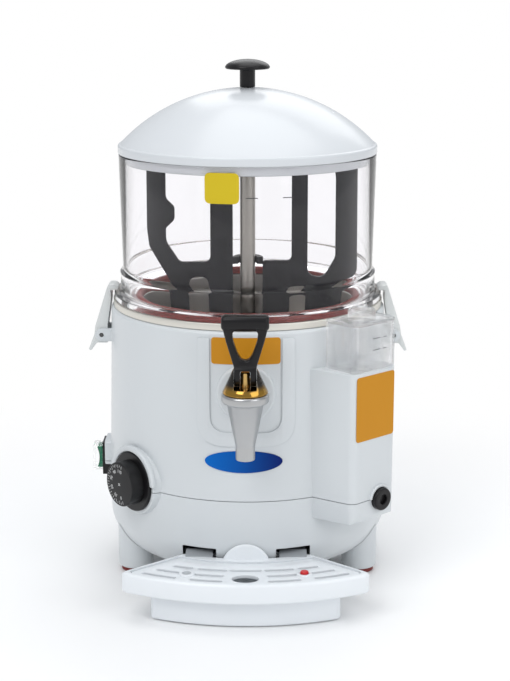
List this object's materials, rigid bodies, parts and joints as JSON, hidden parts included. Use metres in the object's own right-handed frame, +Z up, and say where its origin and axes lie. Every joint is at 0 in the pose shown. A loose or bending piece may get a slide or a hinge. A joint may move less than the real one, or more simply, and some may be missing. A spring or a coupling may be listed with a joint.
{
  "type": "hot chocolate dispenser",
  "caption": "Countertop hot drink dispenser: clear bowl with domed lid and stirrer on a round casing with lever tap, dial, switch and pull-out drip tray.",
  "frame": {"origin": "centre of the whole object's bounding box, on the plane that the feet stand on", "axes": "+Z up, -Y towards the front where the tap and the tray are, +X to the object's own left, which is the right of the picture"},
  "size_m": [0.293, 0.334, 0.465],
  "materials": {
    "white_plastic": "moulded, satin gloss",
    "black_plastic": "moulded, fine satin",
    "clear_plastic": "clear moulded polycarbonate",
    "stainless_steel": "drawn and brushed stainless steel",
    "red_silicone": "matt silicone",
    "dark_metal": "black painted steel",
    "chromed_brass": "brass with a polished chrome plating",
    "brass": "turned",
    "green_plastic": "translucent, gloss",
    "red_plastic": "moulded, gloss"
  },
  "bodies": {
    "machine": {"upper_casing": "white_plastic", "lower_casing": "white_plastic", "front_left_leg": "white_plastic", "front_right_leg": "white_plastic", "rear_left_leg": "white_plastic", "rear_right_leg": "white_plastic", "front_left_foot": "red_silicone", "front_right_foot": "red_silicone", "rear_left_foot": "red_silicone", "rear_right_foot": "red_silicone", "bath_tank": "stainless_steel", "heating_element": "stainless_steel", "inner_dish": "stainless_steel", "bowl_gasket": "red_silicone", "bowl": "clear_plastic", "shaft_seal": "black_plastic", "gear_motor": "dark_metal", "motor_bracket": "stainless_steel", "tap_body": "chromed_brass", "tap_gasket": "black_plastic", "tap_nut": "brass", "tap_bonnet": "chromed_brass", "tap_spring": "stainless_steel", "latch_left_pin": "stainless_steel", "latch_right_pin": "stainless_steel", "thermostat_bezel": "black_plastic", "thermostat_body": "dark_metal", "switch_frame": "black_plastic", "switch_cover": "clear_plastic", "drain_socket": "stainless_steel", "water_reservoir": "clear_plastic", "cable_gland": "black_plastic"},
    "lid": {"lid": "white_plastic", "lid_knob": "black_plastic", "lid_knob_screw": "stainless_steel"},
    "mixer": {"mixer": "black_plastic", "drive_shaft": "stainless_steel"},
    "plunger": {"tap_stem": "brass", "tap_seat_cup": "red_silicone", "lever_pin": "stainless_steel"},
    "lever": {"tap_lever": "black_plastic"},
    "thermostat_dial": {"thermostat_knob": "black_plastic"},
    "rocker": {"power_rocker": "green_plastic"},
    "left_latch": {"latch_left": "white_plastic"},
    "right_latch": {"latch_right": "white_plastic"},
    "filler_lid": {"reservoir_lid": "clear_plastic"},
    "plug": {"drain_plug": "black_plastic"},
    "tray": {"drip_tray": "white_plastic"},
    "grid": {"drip_grid": "white_plastic"},
    "float": {"tray_float": "red_plastic"}
  },
  "joints": [
    {"name": "lid_lift", "type": "slide", "parent": "machine", "child": "lid", "axis": [0, 0, 1], "range_m": [0, 0.06]},
    {"name": "mixer_spin", "type": "hinge", "parent": "machine", "child": "mixer", "pos_m": [0, 0.02505, 0.19], "axis": [0, 0, 1], "continuous": true},
    {"name": "plunger_lift", "type": "slide", "parent": "machine", "child": "plunger", "axis": [0, 0, 1], "range_m": [0, 0.006], "stiffness_N_per_m": 60, "springref_m": -0.004, "deforming": ["tap_spring"]},
    {"name": "lever_tilt", "type": "hinge", "parent": "plunger", "child": "lever", "pos_m": [0, -0.13495, 0.2149], "axis": [1, 0, 0], "range_deg": [0, 35]},
    {"name": "thermostat_turn", "type": "hinge", "parent": "machine", "child": "thermostat_dial", "pos_m": [-0.10311, -0.06147, 0.099], "axis": [-0.766, -0.6428, 0], "range_deg": [0, 290]},
    {"name": "rocker_tilt", "type": "hinge", "parent": "machine", "child": "rocker", "pos_m": [-0.1338, 0.02505, 0.0965], "axis": [0, 1, 0], "range_deg": [-8, 8]},
    {"name": "left_latch_open", "type": "hinge", "parent": "machine", "child": "left_latch", "pos_m": [-0.134, 0.02505, 0.216], "axis": [0, -1, 0], "range_deg": [0, 25]},
    {"name": "right_latch_open", "type": "hinge", "parent": "machine", "child": "right_latch", "pos_m": [0.134, 0.02505, 0.216], "axis": [0, 1, 0], "range_deg": [0, 25]},
    {"name": "filler_lid_lift", "type": "slide", "parent": "machine", "child": "filler_lid", "axis": [0, 0, 1], "range_m": [0, 0.04]},
    {"name": "plug_pull", "type": "slide", "parent": "machine", "child": "plug", "axis": [0.682, -0.7314, 0], "range_m": [0, 0.025]},
    {"name": "tray_pull", "type": "slide", "parent": "machine", "child": "tray", "axis": [0, -1, 0], "range_m": [0, 0.08]},
    {"name": "grid_lift", "type": "slide", "parent": "tray", "child": "grid", "axis": [0, 0, 1], "range_m": [0, 0.03]},
    {"name": "float_rise", "type": "slide", "parent": "tray", "child": "float", "axis": [0, 0, 1], "range_m": [0, 0.005]}
  ],
  "couplings": [
    {"joint": "plunger_lift", "follows": "lever_tilt", "m_per_rad": 0.00982}
  ]
}
